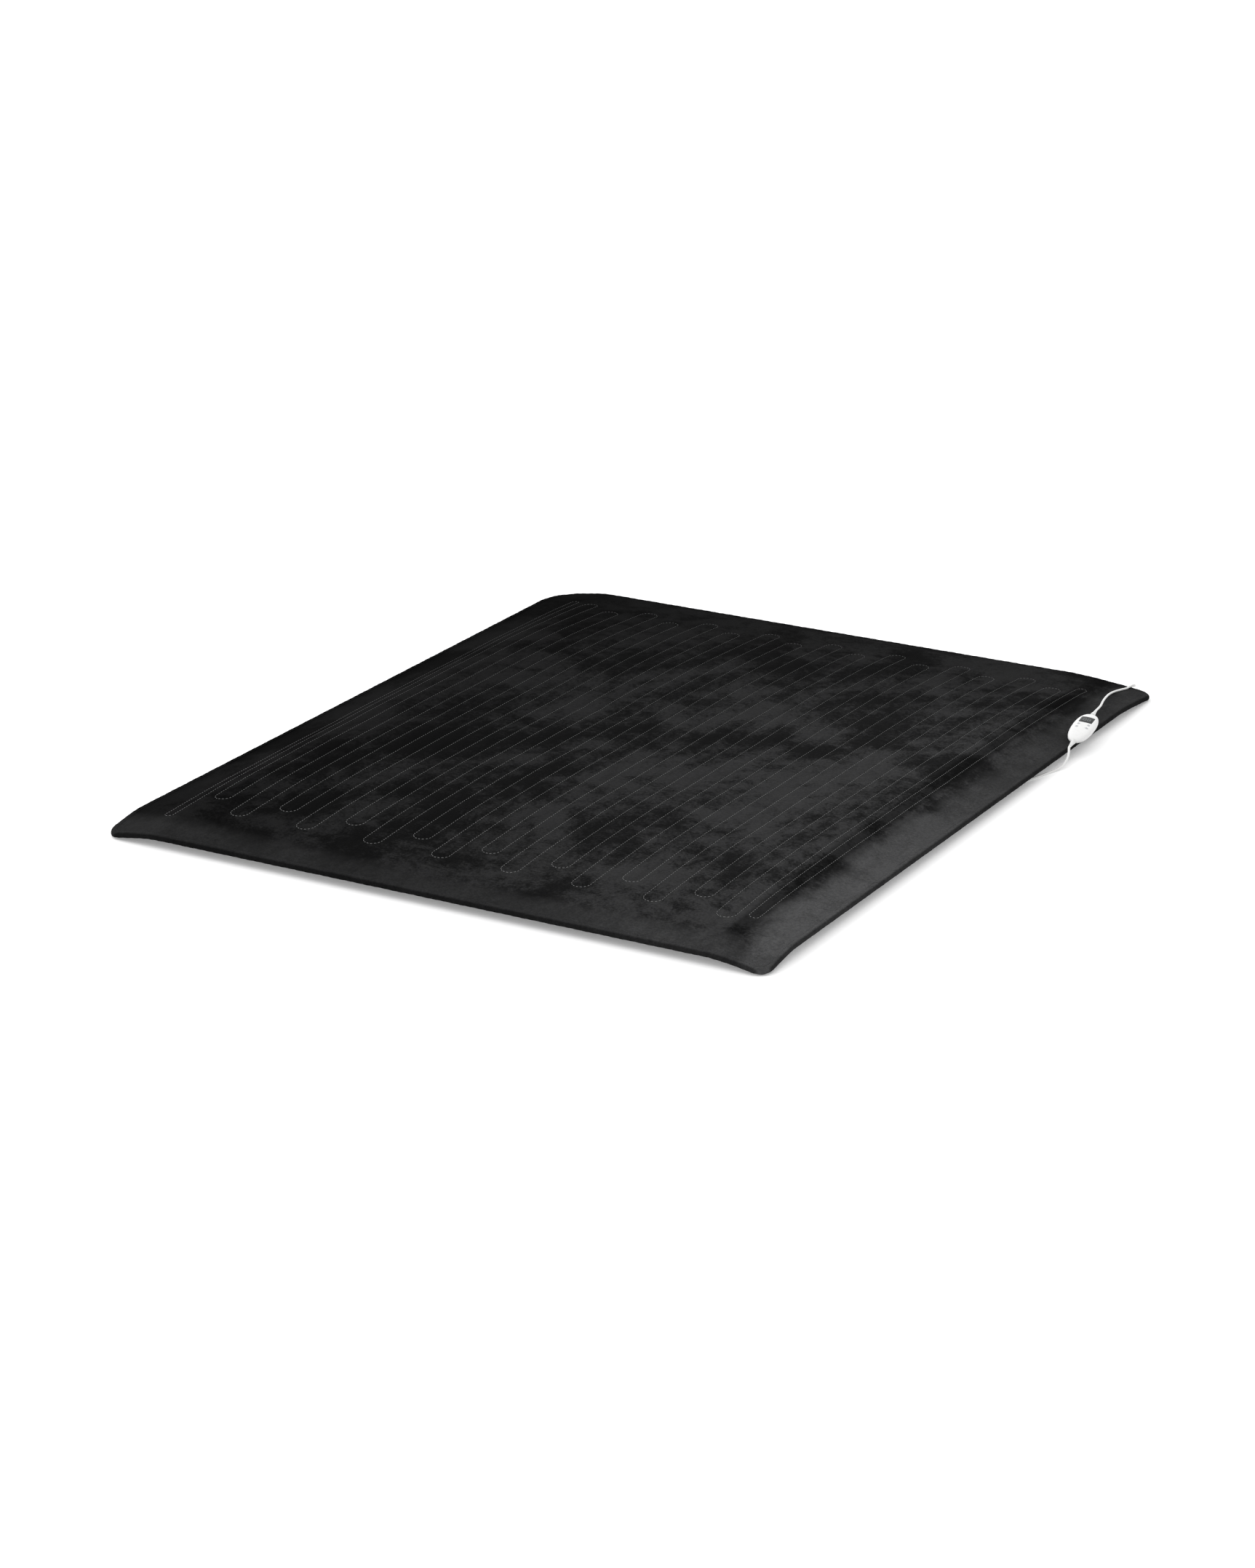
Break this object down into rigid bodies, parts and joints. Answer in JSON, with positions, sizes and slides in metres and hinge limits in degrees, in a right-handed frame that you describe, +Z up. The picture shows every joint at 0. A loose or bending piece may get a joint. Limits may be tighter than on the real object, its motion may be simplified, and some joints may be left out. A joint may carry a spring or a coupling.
{
  "type": "heated plush blanket with hand controller",
  "caption": "Flat quilted plush blanket with sealed heating wires, a turned hem, an oval hand controller with a display, a low-voltage lead and a mains cord.",
  "frame": {"origin": "under the middle of the blanket, on the surface that its corners rest on", "axes": "+Z up, +Y along the blanket's long side and its heating runs towards the end where the controller's lead goes round the hem, +X across towards the side that the controller lies on"},
  "size_m": [1.3158, 1.6267, 0.0503],
  "materials": {
    "plush": "deep black plush with a soft nap and a faint sheen",
    "hem": "black woven tape, matt",
    "liner": "grey non-woven, matt",
    "wire_skin": "flexible silicone skin, satin",
    "ceramic": "pale ceramic, satin",
    "black_plastic": "moulded, matt",
    "white_plastic": "moulded, soft gloss",
    "steel": "bright plated",
    "smoked_lens": "smoked, polished",
    "display_glass": "dark display panel, smooth",
    "board": "glass-epoxy laminate with green resist",
    "key_plastic": "grey moulded keys, satin",
    "cord_skin": "white flexible sheath, satin",
    "brass": "bright contact pins"
  },
  "bodies": {
    "blanket": {"bottom_cover": "plush", "lower_liner": "liner", "upper_liner": "liner", "top_cover": "plush", "edge_binding": "hem", "heating_wire": "wire_skin", "supply_wire": "wire_skin", "return_wire": "wire_skin", "thermal_cutoff_left": "ceramic", "thermal_cutoff_right": "ceramic", "blanket_socket": "black_plastic", "lead_plug": "white_plastic", "controller_top_case": "white_plastic", "controller_bottom_case": "white_plastic", "case_screw_1": "steel", "case_screw_2": "steel", "case_screw_3": "steel", "case_screw_4": "steel", "display_lens": "smoked_lens", "display_panel": "display_glass", "circuit_board": "board", "power_relay": "black_plastic", "control_chip": "black_plastic", "fuse": "ceramic", "capacitor": "steel", "heat_up_switch": "black_plastic", "heat_down_switch": "black_plastic", "timer_up_switch": "black_plastic", "timer_down_switch": "black_plastic", "lead_strain_relief": "white_plastic", "mains_strain_relief": "white_plastic", "lead_cord": "cord_skin", "mains_cord": "cord_skin", "mains_coil": "cord_skin", "mains_cord_tail": "cord_skin", "cord_tie": "black_plastic", "plug_strain_relief": "white_plastic", "mains_plug_body": "white_plastic", "plug_pin_1": "brass", "plug_pin_2": "brass"},
    "heat_up_key": {"heat_up_button": "key_plastic"},
    "heat_down_key": {"heat_down_button": "key_plastic"},
    "timer_up_key": {"timer_up_button": "key_plastic"},
    "timer_down_key": {"timer_down_button": "key_plastic"}
  },
  "joints": [
    {"name": "heat_up_press", "type": "slide", "parent": "blanket", "child": "heat_up_key", "axis": [-0.113, 0.0729, -0.9909], "range_m": [0, 0.0006], "stiffness_N_per_m": 1500},
    {"name": "heat_down_press", "type": "slide", "parent": "blanket", "child": "heat_down_key", "axis": [-0.113, 0.0729, -0.9909], "range_m": [0, 0.0006], "stiffness_N_per_m": 1500},
    {"name": "timer_up_press", "type": "slide", "parent": "blanket", "child": "timer_up_key", "axis": [-0.113, 0.0729, -0.9909], "range_m": [0, 0.0006], "stiffness_N_per_m": 1500},
    {"name": "timer_down_press", "type": "slide", "parent": "blanket", "child": "timer_down_key", "axis": [-0.113, 0.0729, -0.9909], "range_m": [0, 0.0006], "stiffness_N_per_m": 1500}
  ]
}
